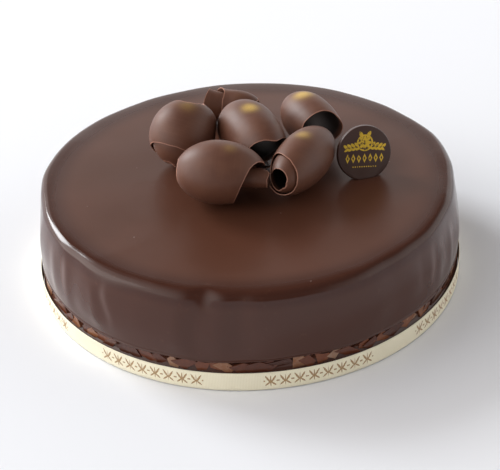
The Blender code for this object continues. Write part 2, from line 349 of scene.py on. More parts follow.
class Tree:
    """A node tree in the making, of a material or of Geometry Nodes."""

    def __init__(self, nodes):
        self.nodes = nodes

    def node(self, kind, settings=None, sockets=None, out=0):
        """Adds a node. Its settings come first, then the values or links of its sockets."""
        made = self.nodes.nodes.new(kind)
        for name, value in (settings or {}).items():
            if name == "stops":
                set_stops(made.color_ramp, value)
            else:
                setattr(made, name, value)
        for key, value in (sockets or {}).items():
            target = socket_called(made.inputs, key)
            if isinstance(value, Val):
                self.nodes.links.new(value.socket, target)
            else:
                target.default_value = value
        return Val(self, socket_called(made.outputs, out)) if made.outputs else made

    def sine(self, value):
        return value.math("SINE", value)

    def cosine(self, value):
        return value.math("COSINE", value)

    def root(self, value):
        return value.math("SQRT", value)

    def larger(self, one, other):
        return one.math("MAXIMUM", one, other)

    def remainder(self, value, size):
        return value.math("FLOORED_MODULO", value, size)

    def smooth(self, value, low, high):
        """A smooth step of value from 0 at low to 1 at high."""
        sockets = {"Value": value, "From Min": low, "From Max": high}
        return self.node("ShaderNodeMapRange", {"interpolation_type": "SMOOTHSTEP"}, sockets)

    def mixed(self, share, one, other):
        """A colour between two."""
        sockets = {"Factor_Float": share, "A_Color": one, "B_Color": other}
        return self.node("ShaderNodeMix", {"data_type": "RGBA"}, sockets, "Result_Color")

    def noise(self, place, scale, detail=2.0, rough=0.5):
        sockets = {"Vector": place, "Scale": scale, "Detail": detail, "Roughness": rough}
        return self.node("ShaderNodeTexNoise", None, sockets, "Fac")

    def length(self, *parts):
        """How long the vector with these parts is."""
        return self.root(sum((part * part for part in parts[1:]), parts[0] * parts[0]))


def set_stops(ramp, stops):
    while len(ramp.elements) < len(stops):
        ramp.elements.new(1)
    for element, (place, colour) in zip(ramp.elements, stops):
        element.position = place
        element.color = colour


def rgb(colour):
    """A colour as a screen shows it, from 0 to 255, as the shader takes it."""
    parts = [value / 255 for value in colour]
    linear = [p / 12.92 if p <= 0.04045 else ((p + 0.055) / 1.055) ** 2.4 for p in parts]
    return (*linear, 1)


def new_look(name):
    """An empty material with its shader's output, as a tree."""
    made = bpy.data.materials.new(name)
    made.use_nodes = True
    made.node_tree.nodes.clear()
    return made, Tree(made.node_tree)


def finish_look(tree, sockets, bump=None):
    """The Principled shader with these sockets, and the heights of its bumps in metres."""
    if bump is not None:
        height, strength = bump
        lift = {"Height": height, "Distance": 1.0, "Strength": strength}
        sockets = {**sockets, "Normal": tree.node("ShaderNodeBump", None, lift)}
    shader = tree.node("ShaderNodeBsdfPrincipled", None, sockets)
    tree.node("ShaderNodeOutputMaterial", None, {"Surface": shader})


def leaf(tree, across, up, at, radii, turn):
    """A mask that is 1 inside a leaf-shaped ellipse at a place, turned by degrees."""
    c = math.cos(math.radians(turn))
    s = math.sin(math.radians(turn))
    x = across - at[0]
    y = up - at[1]
    along = (x * c + y * s) / radii[0]
    beside = (y * c - x * s) / radii[1]
    reach = along * along + tree.root(abs(beside)) * abs(beside)
    return 1 - tree.smooth(reach, 0.8, 1.15)


def any_of(tree, masks):
    """1 where any of the masks is."""
    joined = masks[0]
    for mask in masks[1:]:
        joined = tree.larger(joined, mask)
    return joined


# Materials


def glaze_look():
    """Dark poured chocolate glaze: glossy, with painted shade that makes it darker and redder over the
    rim and darker down the side, pale streaks of painted reflection on the side, and bubbles with a
    painted glint.
    """
    made, tree = new_look("poured_glaze")
    place = tree.node("ShaderNodeTexCoord", None, None, "Object")
    across = tree.node("ShaderNodeSeparateXYZ", None, {0: place}, "X")
    ahead = across.also("Y")
    height = across.also("Z")
    reach = tree.length(across, ahead)
    cloudy = tree.noise(place, 18.0, 3.0)
    fine = tree.noise(place, 260.0, 2.0)
    rim = tree.smooth(reach, *RIM_SHADE_REACH) * tree.smooth(height, *RIM_SHADE_LEVEL)
    flat = tree.smooth(reach, *FLAT_REACH) * tree.smooth(height, *FLAT_LEVEL)
    pale = tree.node("ShaderNodeAttribute", {"attribute_name": "streak"}, None, "Fac")
    colour = tree.mixed(tree.smooth(cloudy, 0.3, 0.7), *map(rgb, GLAZE_TONES))
    # Painted shade: darker and redder over the rim.
    colour = tree.mixed(rim * 0.85, colour, rgb(GLAZE_RIM_SHADE))
    # Painted shade: darker down the side than on the top.
    colour = tree.mixed(tree.smooth(height, *SIDE_SHADE_LEVEL) * 0.7, colour, rgb(GLAZE_SIDE_SHADE))
    # Painted reflection: pale streaks down the side.
    colour = tree.mixed(pale * 0.55, colour, rgb(GLAZE_REFLECTION))
    colour = tree.mixed(tree.smooth(fine, 0.62, 0.85) * 0.25, colour, rgb(GLAZE_FINE))
    spots = []
    for x, y in BUBBLES:
        spots.append(tree.smooth(tree.length(across - x, ahead - y), BUBBLE, BUBBLE / 2))
    spots = any_of(tree, spots) * tree.smooth(height, *FLAT_LEVEL)
    # Painted glint: the bubbles paler than the glaze round them.
    colour = tree.mixed(spots * 0.5, colour, rgb(GLAZE_BUBBLE_GLINT))
    rough = 0.13 + flat * 0.17 + tree.smooth(tree.noise(place, 45.0, 3.0), 0.35, 0.7) * 0.04
    waves = tree.noise(place, 26.0, 1.0) * 0.00020 + tree.noise(place, 90.0, 1.0) * 0.00002
    sockets = {"Base Color": colour, "Roughness": rough, "IOR": 1.40}
    finish_look(tree, sockets, (waves + spots * 0.00025, 1.0))
    return made


def flake_look():
    """Chocolate flakes under a thin coat of glaze, each of its own tone from dark to caramel; the palest
    tones are a painted highlight.
    """
    made, tree = new_look("glazed_flakes")
    place = tree.node("ShaderNodeTexCoord", None, None, "Object")
    tone = tree.node("ShaderNodeAttribute", {"attribute_name": "tone"}, None, "Fac")
    grain = tree.noise(place, 420.0, 4.0, 0.6)
    stops = [(at, rgb(colour)) for at, colour in FLAKE_TONES_AND_HIGHLIGHT]
    # The palest tones of the ramp are a painted highlight.
    colour = tree.node("ShaderNodeValToRGB", {"stops": stops}, {"Fac": tone + (grain - 0.5) * 0.35})
    rough = 0.16 + grain * 0.12
    sockets = {"Base Color": colour, "Roughness": rough, "IOR": 1.45}
    finish_look(tree, sockets, (grain * 0.00012, 0.8))
    return made


def curl_look():
    """Rolled chocolate: satin, with scrape lines round the roll, pale broken edges, gold dust and painted
    shade deep inside the roll.
    """
    made, tree = new_look("rolled_chocolate")
    place = tree.node("ShaderNodeTexCoord", None, None, "Object")
    sheet = tree.node("ShaderNodeUVMap", {"uv_map": "sheet"})
    round_roll = tree.node("ShaderNodeSeparateXYZ", None, {0: sheet}, "X")
    along_roll = round_roll.also("Y")
    edge = tree.node("ShaderNodeAttribute", {"attribute_name": "edge"}, None, "Fac")
    inside = tree.node("ShaderNodeAttribute", {"attribute_name": "inside"}, None, "Fac")
    dust = tree.node("ShaderNodeAttribute", {"attribute_name": "dust"}, None, "Fac")
    stretched = {"X": round_roll * 40.0, "Y": along_roll * 900.0}
    scrape = tree.noise(tree.node("ShaderNodeCombineXYZ", None, stretched), 1.0, 3.0, 0.6)
    cloudy = tree.noise(place, 110.0, 3.0)
    grain = tree.noise(place, 1500.0, 2.0)
    colour = tree.mixed(tree.smooth(cloudy, 0.3, 0.7), *map(rgb, CURL_TONES))
    colour = tree.mixed(tree.smooth(scrape, 0.45, 0.8) * 0.25, colour, rgb(CURL_SCRAPED))
    # Painted shade: darker deep inside the roll, away from its edges.
    deep = inside * tree.smooth(edge, 0.0004, 0.0060)
    colour = tree.mixed(deep * 0.85, colour, rgb(CURL_INNER_SHADE))
    broken = 1 - tree.smooth(edge + (grain - 0.5) * 0.0003, 0.00010, 0.00060)
    colour = tree.mixed(broken * 0.75, colour, rgb(CURL_BROKEN))
    speckle = tree.noise(place, 1300.0, 3.0, 0.6)
    gold = tree.smooth(dust * (0.75 + speckle * 0.5), 0.0, 1.15)
    colour = tree.mixed(gold, colour, rgb(GOLD_DUST))
    rough = 0.46 + cloudy * 0.08 + broken * 0.10 + deep * 0.3
    height = scrape * 0.00001 + grain * 0.000005 + cloudy * 0.00006
    sockets = {
        "Base Color": colour,
        "Roughness": rough,
        "Metallic": gold * 0.35,
        "Specular IOR Level": 0.36,
    }
    finish_look(tree, sockets, (height, 0.8))
    return made


def disc_look():
    """Dark moulded chocolate with a worn gold ornament: a rosette, leaf sprays and rows of lozenges."""
    made, tree = new_look("printed_chocolate")
    place = tree.node("ShaderNodeTexCoord", None, None, "Object")
    face = tree.node("ShaderNodeUVMap", {"uv_map": "face"})
    x = tree.node("ShaderNodeSeparateXYZ", None, {0: face}, "X")
    y = x.also("Y")
    side = abs(x)
    mm = 0.001
    petals = []
    for turn in range(0, 180, 45):
        petals.append(leaf(tree, x, y, (0, 5.4 * mm), (3.9 * mm, 1.15 * mm), turn))
    sprays = []
    for number in range(4):
        at = ((4.4 + 1.9 * number) * mm, (4.6 - 0.35 * number) * mm)
        sprays.append(leaf(tree, side, y, at, (1.5 * mm, 0.75 * mm), 42))
        at = ((3.6 + 2.0 * number) * mm, (2.5 - 0.20 * number) * mm)
        sprays.append(leaf(tree, side, y, at, (1.4 * mm, 0.65 * mm), -30))
    sprays.append(leaf(tree, side, y, (2.0 * mm, 9.6 * mm), (2.0 * mm, 0.95 * mm), 62))
    ring_reach = tree.length(x, y - 5.4 * mm)
    ring = 1 - tree.smooth(abs(ring_reach - 3.9 * mm), 0.25 * mm, 0.55 * mm)
    cell = tree.remainder(x + 1.5 * mm, 3.0 * mm) - 1.5 * mm
    lozenge = tree.smooth(abs(cell) / (1.05 * mm) + abs(y + 2.6 * mm) / (2.3 * mm), 1.15, 0.9)
    hollow = tree.smooth(abs(cell) / (0.50 * mm) + abs(y + 2.6 * mm) / (1.1 * mm), 1.15, 0.8)
    row = (lozenge - hollow) * tree.smooth(side, 10.6 * mm, 10.3 * mm)
    dot_cell = tree.remainder(x + 0.6 * mm, 1.2 * mm) - 0.6 * mm
    dots = tree.smooth(tree.length(dot_cell, y + 7.0 * mm), 0.42 * mm, 0.24 * mm)
    dots = dots * tree.smooth(side, 6.7 * mm, 6.5 * mm)
    worn = tree.smooth(tree.noise(place, 420.0, 4.0, 0.7), 0.34, 0.46)
    gold = any_of(tree, petals + sprays + [ring, row, dots]) * worn
    cloudy = tree.noise(place, 160.0, 3.0)
    colour = tree.mixed(cloudy, *map(rgb, DISC_TONES))
    colour = tree.mixed(gold, colour, rgb(DISC_GOLD))
    rough = 0.34 + cloudy * 0.08
    height = gold * 0.00006 + cloudy * 0.00004
    sockets = {"Base Color": colour, "Roughness": rough, "Metallic": gold * 0.7, "IOR": 1.45}
    finish_look(tree, sockets, (height, 0.8))
    return made


def ribbon_look():
    """Ivory ribbed ribbon with a plain selvedge, painted shade in the grooves between its ribs, and a
    printed row of leaf sprigs in brown gold.
    """
    made, tree = new_look("ribbed_ribbon")
    strip = tree.node("ShaderNodeUVMap", {"uv_map": "strip"})
    along = tree.node("ShaderNodeSeparateXYZ", None, {0: strip}, "X")
    up = along.also("Y")
    mm = 0.001
    word = tree.remainder(along - PRINT_START, PRINT_PERIOD)
    inside = tree.smooth(word, PRINT_LENGTH + 0.1 * mm, PRINT_LENGTH - 0.1 * mm)
    size = PRINT_LENGTH / 8
    x = tree.remainder(word, size) - size / 2
    y = up - RIBBON_WIDTH / 2
    sprig = [
        leaf(tree, abs(x), y, (1.30 * mm, 1.0 * mm), (2.5 * mm, 0.48 * mm), 60),
        leaf(tree, abs(x), y, (1.40 * mm, -1.6 * mm), (1.7 * mm, 0.42 * mm), -42),
        leaf(tree, x, y, (0, 0), (0.26 * mm, 3.2 * mm), 0),
        leaf(tree, abs(x), y, (3.1 * mm, 0), (0.45 * mm, 0.45 * mm), 0),
    ]
    worn = tree.smooth(tree.noise(strip, 2600.0, 2.0), 0.30, 0.48)
    ink = any_of(tree, sprig) * inside * (0.75 + worn * 0.25)
    rib = tree.cosine(along * (2 * math.pi / RIB_PITCH))
    selvedge = tree.smooth(abs(y), RIBBON_WIDTH / 2 - 0.75 * mm, RIBBON_WIDTH / 2 - 0.55 * mm)
    threads = tree.noise(strip, 3200.0, 3.0, 0.6)
    colour = tree.mixed(threads, *map(rgb, RIBBON_TONES))
    # Painted shade: darker in the grooves between the ribs.
    colour = tree.mixed(tree.smooth(rib, 0.2, -1.0) * (1 - selvedge) * 0.45, colour, rgb(RIBBON_GROOVE_SHADE))
    colour = tree.mixed(ink, colour, rgb(RIBBON_INK))
    weft = tree.sine(up * (2 * math.pi / 0.00028))
    height = threads * 0.00003 + weft * 0.00001
    sockets = {"Base Color": colour, "Roughness": 0.62 - ink * 0.12, "Sheen Weight": 0.25}
    finish_look(tree, sockets, (height, 0.9))
    return made


def floor_look():
    """A plain pale floor."""
    made, tree = new_look("pale_floor")
    place = tree.node("ShaderNodeTexCoord", None, None, "Object")
    colour = tree.mixed(tree.noise(place, 3.0, 2.0), *map(rgb, FLOOR_TONES))
    finish_look(tree, {"Base Color": colour, "Roughness": 0.9, "Specular IOR Level": 0.1})
    return made


# Meshes


def show(name, mesh):
    made = bpy.data.objects.new(name, mesh)
    bpy.context.scene.collection.objects.link(made)
    return made


def applied(obj):
    """The object's mesh with its modifiers applied. The object goes."""
    bpy.context.view_layer.update()
    graph = bpy.context.evaluated_depsgraph_get()
    mesh = bpy.data.meshes.new_from_object(obj.evaluated_get(graph))
    bpy.data.objects.remove(obj)
    return mesh


def with_nodes(obj, group, inputs):
    """Adds a Geometry Nodes group to an object, with its inputs set by name."""
    modifier = obj.modifiers.new(group.name, "NODES")
    modifier.node_group = group
    for item in group.interface.items_tree:
        if item.in_out == "INPUT" and item.name in inputs:
            modifier[item.identifier] = inputs[item.name]
    return modifier


def new_group(name, inputs):
    """An empty Geometry Nodes tree with a geometry in and out and these named inputs."""
    group = bpy.data.node_groups.new(name, "GeometryNodeTree")
    group.interface.new_socket(name="Geometry", in_out="OUTPUT", socket_type="NodeSocketGeometry")
    group.interface.new_socket(name="Geometry", in_out="INPUT", socket_type="NodeSocketGeometry")
    for label, kind in inputs.items():
        group.interface.new_socket(name=label, in_out="INPUT", socket_type="NodeSocket" + kind)
    tree = Tree(group)
    source = tree.node("NodeGroupInput")
    return group, tree, source


def end_group(tree, geometry, look):
    """The last nodes of every tree: instances made real, and the material."""
    real = tree.node("GeometryNodeRealizeInstances", None, {"Geometry": geometry})
    dressed = tree.node("GeometryNodeSetMaterial", None, {"Geometry": real, "Material": look})
    tree.node("NodeGroupOutput", None, {"Geometry": dressed})


def stored(tree, geometry, name, value, kind="FLOAT", domain="POINT"):
    settings = {"data_type": kind, "domain": domain}
    sockets = {"Geometry": geometry, "Name": name, "Value": value}
    return tree.node("GeometryNodeStoreNamedAttribute", settings, sockets)


def eased(share):
    share = min(max(share, 0), 1)
    return share * share * (3 - 2 * share)


def hump(apart, width):
    return math.exp(-((apart / width) ** 2))


def side_wave(angle, height):
    """How far the poured side stands out at an angle from the front and a height."""
    out = sum(deep * math.cos(count * angle + start) for count, deep, start in SIDE_WAVES)
    degrees = math.degrees(angle)
    for at, width, deep in SIDE_DENTS:
        out -= deep * hump((degrees - at + 180) % 360 - 180, width)
    out *= 1 - 0.3 * eased((height - 0.040) / 0.010)
    down = (CAKE_HEIGHT - height) / CAKE_HEIGHT
    for at, width, slant, deep in SIDE_RUNS:
        for twin in (at, at + 180):
            apart = (degrees - twin - slant * down + 180) % 360 - 180
            below = 1 - eased((height - 0.036) / 0.010)
            out += deep * hump(apart, width * (0.8 + 0.6 * down)) * below
    out += 0.00018 * (noise.noise((9 * math.cos(angle), 9 * math.sin(angle), height * 45)))
    return out * eased((height - LIP_HEIGHT) / 0.010)


def rim_lean(angle, reach, height):
    """How far in the top and the upper side lean at the front."""
    degrees = math.degrees(angle)
    lean = LEAN + sum(deep * hump(degrees - at, width) for at, width, deep in RIM_LEANS)
    front = eased((math.cos(angle) + 0.35) / 0.60)
    up = min(max((height - LEAN_HEIGHT) / (CAKE_HEIGHT - LEAN_HEIGHT), 0), 1)
    return lean * front * up * up * eased((reach - LEAN_REACH) / (CAKE_RADIUS - LEAN_REACH))


def streak(angle, height):
    """How strong the painted reflection in pale streaks is at an angle and a height of the side."""
    down = (CAKE_HEIGHT - height) / CAKE_HEIGHT
    ends = eased((0.0480 - height) / 0.010) * eased((height - 0.018) / 0.014)
    ends *= 0.6 + 0.4 * noise.noise((angle * 12, height * 60, 5.0))
    found = 0
    for at, width, slant, strength in REFLECTION_STREAKS:
        bend = 0.8 * noise.noise((at, height * 90, 1.0))
        apart = math.degrees(angle) - at - slant * down - bend
        found = max(found, strength * hump(apart, width))
    return found * ends


def lip_wave(angle):
    """How much higher or lower the glaze ends at an angle."""
    up = 0.00035 * math.sin(4 * angle + 1.0) + 0.00025 * math.sin(11 * angle + 0.3)
    return up + 0.0005 * noise.noise((7 * math.cos(angle), 7 * math.sin(angle), 2.0))


def glaze_profile():
    """From the middle of the top over the rim and down the side to the lip, the band and the foot."""
    rim = (CAKE_RADIUS - TOP_ROUNDING, CAKE_HEIGHT - TOP_ROUNDING)
    profile = [(0.0004, CAKE_HEIGHT)]
    profile += [(rim[0] * step / 34, CAKE_HEIGHT) for step in range(1, 34)]
    for step in range(15):
        a = math.radians(90 * (1 - step / 14))
        profile.append((rim[0] + TOP_ROUNDING * math.cos(a), rim[1] + TOP_ROUNDING * math.sin(a)))
    down = 26
    for step in range(1, down):
        height = rim[1] + (LIP_HEIGHT + 0.0012 - rim[1]) * step / down
        profile.append((CAKE_RADIUS + 0.0004 * eased(step / down), height))
    bead = (CAKE_RADIUS - 0.0001, LIP_HEIGHT + 0.0005)
    for step in range(9):
        a = math.radians(60 - 150 * step / 8)
        profile.append((bead[0] + 0.0006 * math.cos(a), bead[1] + 0.0006 * math.sin(a)))
    profile += [
        (BAND_RADIUS, LIP_HEIGHT + 0.0002),
        (BAND_RADIUS, (LIP_HEIGHT + FOOT_HEIGHT) / 2),
        (BAND_RADIUS, FOOT_HEIGHT + 0.0004),
        (FOOT_RADIUS - 0.0002, FOOT_HEIGHT),
        (FOOT_RADIUS, FOOT_HEIGHT - 0.0004),
        (FOOT_RADIUS, 0.0006),
        (FOOT_RADIUS - 0.0006, 0),
        (0.06, 0),
        (0.0004, 0),
    ]
    return profile


def poured(point):
    """A point of the turned cake moved to where the poured glaze has it."""
    reach = math.hypot(point.x, point.y)
    if reach < 0.001:
        return point
    angle = math.atan2(point.x, -point.y)
    fade = min(max((reach / CAKE_RADIUS - 0.8) / 0.2, 0), 1)
    grow = 1 + (fade * side_wave(angle, point.z) - rim_lean(angle, reach, point.z)) / reach
    rise = lip_wave(angle) * hump(point.z - LIP_HEIGHT - 0.0004, 0.0022)
    sag = 0.00025 * noise.noise((point.x * 22, point.y * 22, 4.0)) if point.z > 0.0504 else 0
    return Vector((point.x * grow, point.y * grow, point.z + rise - abs(sag)))


def make_glaze(look):
    profile = glaze_profile()
    mesh = bpy.data.meshes.new("glaze")
    points = [(0, 0, CAKE_HEIGHT)]
    points += [(r, 0, z) for r, z in profile]
    points += [(0, 0, 0)]
    mesh.from_pydata(points, [(i, i + 1) for i in range(len(points) - 1)], [])
    obj = show("turned", mesh)
    screw = obj.modifiers.new("turn", "SCREW")
    screw.steps = screw.render_steps = CAKE_STEPS
    screw.use_merge_vertices = True
    screw.merge_threshold = MERGE
    mesh = applied(obj)
    # The painted reflection in pale streaks, at each point of the side.
    streaks = []
    for vertex in mesh.vertices:
        streaks.append(streak(math.atan2(vertex.co.x, -vertex.co.y), vertex.co.z))
        vertex.co = poured(vertex.co)
    mesh.attributes.new("streak", "FLOAT", "POINT").data.foreach_set("value", streaks)
    mesh.shade_smooth()
    mesh.materials.append(look)
    return show("glazed_cake", mesh)


def make_shard(number, chance):
    """One flake: an uneven flat piece with four to six corners and rounded edges."""
    corners = chance.randint(4, 6)
    outline = []
    for corner in range(corners):
        a = 2 * math.pi * (corner + chance.uniform(-0.3, 0.3)) / corners
        r = chance.uniform(0.85, 1.2)
        outline.append((0.5 * r * math.cos(a), 0, 0.5 * r * math.sin(a)))
    mesh = bpy.data.meshes.new("shard")
    mesh.from_pydata(outline, [], [range(corners)])
    obj = show("shard%d" % number, mesh)
    wall = obj.modifiers.new("thickness", "SOLIDIFY")
    wall.thickness = 0.22
    wall.offset = 0
    edge = obj.modifiers.new("rounded", "BEVEL")
    edge.width = 0.02
    edge.segments = 2
    edge.limit_method = "ANGLE"
    mesh = applied(obj)
    return show("shard%d" % number, mesh)


def flake_group():
    """Flakes round a circle: one of the shards at each place, of its own size, turn and tone."""
    inputs = {
        "Shards": "Collection",
        "Count": "Int",
        "Radius": "Float",
        "Middle": "Float",
        "Widest": "Float",
        "Tallest": "Float",
        "Thickest": "Float",
        "Seed": "Int",
        "Material": "Material",
    }
    group, tree, source = new_group("flakes_round_the_foot", inputs)
    points = tree.node("GeometryNodePoints", None, {"Count": source.also("Count")})
    index = tree.node("GeometryNodeInputIndex")

    def chance(low, high, number, kind="FLOAT"):
        sockets = {"Seed": source.also("Seed") + number}
        if kind == "FLOAT":
            sockets.update({"Min_001": low, "Max_001": high})
            return tree.node("FunctionNodeRandomValue", {"data_type": kind}, sockets, "Value_001")
        sockets.update({"Min": low, "Max": high})
        return tree.node("FunctionNodeRandomValue", {"data_type": kind}, sockets, "Value")

    angle = (index + chance(-0.42, 0.42, 1)) * (2 * math.pi) / source.also("Count")
    reach = source.also("Radius") + chance(-0.00055, 0.0, 2)
    height = source.also("Middle") + chance(-0.0009, 0.0006, 3)
    place = {"X": tree.sine(angle) * reach, "Y": -tree.cosine(angle) * reach, "Z": height}
    sockets = {"Geometry": points, "Position": tree.node("ShaderNodeCombineXYZ", None, place)}
    points = tree.node("GeometryNodeSetPosition", None, sockets)
    sockets = {"Collection": source.also("Shards"), "Separate Children": True, "Reset Children": True}
    shards = tree.node("GeometryNodeCollectionInfo", None, sockets)
    turn = {
        "X": chance(-0.10, 0.16, 4),
        "Y": chance(-0.35, 0.35, 5),
        "Z": angle + chance(-0.06, 0.06, 6),
    }
    size = {
        "X": source.also("Widest") * chance(0.45, 1.0, 7),
        "Y": source.also("Thickest") * chance(0.6, 1.0, 8) * 3.6,
        "Z": source.also("Tallest") * chance(0.8, 1.0, 9),
    }
    sockets = {
        "Points": points,
        "Instance": shards,
        "Pick Instance": True,
        "Instance Index": chance(0.0, 5.999, 10),
        "Rotation": tree.node("ShaderNodeCombineXYZ", None, turn),
        "Scale": tree.node("ShaderNodeCombineXYZ", None, size),
    }
    flakes = tree.node("GeometryNodeInstanceOnPoints", None, sockets)
    flakes = stored(tree, flakes, "tone", chance(0.0, 1.0, 11) ** 1.5, domain="INSTANCE")
    end_group(tree, flakes, source.also("Material"))
    return group


def make_flakes(look):
    chance = random.Random(11)
    shards = [make_shard(number, chance) for number in range(6)]
    home = bpy.data.collections.new("shards")
    for shard in shards:
        home.objects.link(shard)
    obj = show("flakes", bpy.data.meshes.new("flakes"))
    inputs = {
        "Shards": home,
        "Count": 104,
        "Radius": FOOT_RADIUS - 0.0009,
        "Middle": (FOOT_HEIGHT + LIP_HEIGHT) / 2 + 0.0002,
        "Widest": 0.0155,
        "Tallest": 0.0072,
        "Thickest": 0.0016,
        "Seed": 5,
        "Material": look,
    }
    with_nodes(obj, flake_group(), inputs)
    mesh = applied(obj)
    for shard in shards:
        bpy.data.objects.remove(shard)
    bpy.data.collections.remove(home)
    return show("foot_flakes", mesh)


def ribbon_group():
    """A ribbed ribbon that stands round a circle and laps over its own start at the back."""
    inputs = {
        "Radius": "Float",
        "Width": "Float",
        "Bottom": "Float",
        "Lap": "Float",
        "Step Out": "Float",
        "Rib Pitch": "Float",
        "Rib Height": "Float",
        "Material": "Material",
    }
    group, tree, source = new_group("ribbed_ribbon", inputs)
    radius = source.also("Radius")
    width = source.also("Width")
    lap = source.also("Lap")
    whole = lap + 2 * math.pi
    long = whole * radius
    columns = long / source.also("Rib Pitch") * 4
    sockets = {"Size X": 1.0, "Size Y": 1.0, "Vertices X": columns, "Vertices Y": 9}
    strip = tree.node("GeometryNodeMeshGrid", None, sockets, "Mesh")
    flat = tree.node("ShaderNodeSeparateXYZ", None, {0: tree.node("GeometryNodeInputPosition")}, "X")
    share = flat + 0.5
    up = flat.also("Y") + 0.5
    along = share * long
    uv = tree.node("ShaderNodeCombineXYZ", None, {"X": along, "Y": up * width})
    strip = stored(tree, strip, "strip", uv, "FLOAT2", "CORNER")
    angle = share * whole + math.pi
    late = (share * whole - 2 * math.pi + 2 * lap) / (1.6 * lap)
    rib = tree.cosine(along * (2 * math.pi) / source.also("Rib Pitch")) * source.also("Rib Height")
    plain = tree.smooth(abs(up - 0.5), 0.44, 0.43)
    step = source.also("Step Out") * tree.smooth(late, 0.0, 1.0)
    reach = radius + step + (rib - source.also("Rib Height")) * plain
    place = {
        "X": tree.sine(angle) * reach,
        "Y": -tree.cosine(angle) * reach,
        "Z": source.also("Bottom") + up * width,
    }
    sockets = {"Geometry": strip, "Position": tree.node("ShaderNodeCombineXYZ", None, place)}
    strip = tree.node("GeometryNodeSetPosition", None, sockets)
    strip = tree.node("GeometryNodeFlipFaces", None, {"Mesh": strip})
    end_group(tree, strip, source.also("Material"))
    return group


def make_ribbon(look):
    lap = math.radians(RIBBON_LAP)
    radius = FOOT_RADIUS + GAP + RIBBON_THICKNESS
    obj = show("ribbon", bpy.data.meshes.new("ribbon"))
    inputs = {
        "Radius": radius,
        "Width": RIBBON_WIDTH,
        "Bottom": RIBBON_BOTTOM,
        "Lap": lap,
        "Step Out": RIBBON_THICKNESS + GAP,
        "Rib Pitch": RIB_PITCH,
        "Rib Height": RIB_HEIGHT,
        "Material": look,
    }
    with_nodes(obj, ribbon_group(), inputs)
    wall = obj.modifiers.new("thickness", "SOLIDIFY")
    wall.thickness = RIBBON_THICKNESS - 0.00005
    wall.offset = -1
    mesh = applied(obj)
    mesh.shade_smooth()
    return show("ribbon_cloth", mesh), (RIBBON_WIDTH, (2 * math.pi + lap) * radius)


def through(values, share):
    """A smooth curve through values at even steps."""
    place = min(max(share, 0), 1) * (len(values) - 1)
    first = min(int(place), len(values) - 2)
    part = place - first
    before = values[max(first - 1, 0)]
    here = values[first]
    there = values[first + 1]
    after = values[min(first + 2, len(values) - 1)]
    bend = (there - before) * part
    bend += (2 * before - 5 * here + 4 * there - after) * part**2
    bend += (3 * here - before - 3 * there + after) * part**3
    return here + bend / 2


def curl_group():
    """Rolls a flat sheet up. Its points carry share, from the inner to the outer edge, and along."""
    names = (
        "Radius", "Turns", "Start", "Hand", "Step", "Tuck", "Over From", "Over To", "Low Taper",
        "High Taper", "Low Core", "High Core", "Drift Y", "Drift Z", "Half Length", "Stand Off", "Uneven",
    )
    inputs = {name: "Float" for name in names}
    inputs["Material"] = "Material"
    group, tree, source = new_group("rolled_sheet", inputs)

    def carried(name):
        settings = {"data_type": "FLOAT"}
        return tree.node("GeometryNodeInputNamedAttribute", settings, {"Name": name}, "Attribute")

    def either_end(low, high):
        return source.also(low) + (source.also(high) - source.also(low)) * at_high_end

    share = carried("share")
    along = carried("along")
    at_high_end = along > 0
    laps = source.also("Turns") * (1 - share)
    tucked = tree.smooth(laps, source.also("Over From"), source.also("Over To"))
    core = either_end("Low Core", "High Core") * tree.smooth(laps, 1.0, 1.35)
    taper = either_end("Low Taper", "High Taper") * (1 - core)
    belly = tree.root(tree.larger(1 - taper * along * along, 0.02))
    place = tree.node("GeometryNodeInputPosition")
    uneven = (tree.noise(place, 90.0, 1.0) - 0.5) * source.also("Uneven")
    inward = source.also("Step") * laps + source.also("Tuck") * tucked
    off = source.also("Stand Off") * tree.smooth(laps, 0.45, 0.05) * tree.smooth(along, 0.35, 0.95)
    reach = (source.also("Radius") - inward + uneven) * belly + off
    angle = source.also("Start") + source.also("Hand") * source.also("Turns") * share * (2 * math.pi)
    moved = tucked * (along + 1) / 2
    rolled = {
        "X": (source.also("Half Length") - source.also("Step") * laps) * along,
        "Y": reach * tree.cosine(angle) + source.also("Drift Y") * moved,
        "Z": reach * tree.sine(angle) + source.also("Drift Z") * moved,
    }
    sockets = {"Geometry": source, "Position": tree.node("ShaderNodeCombineXYZ", None, rolled)}
    sheet = tree.node("GeometryNodeSetPosition", None, sockets)
    end_group(tree, sheet, source.also("Material"))
    return group


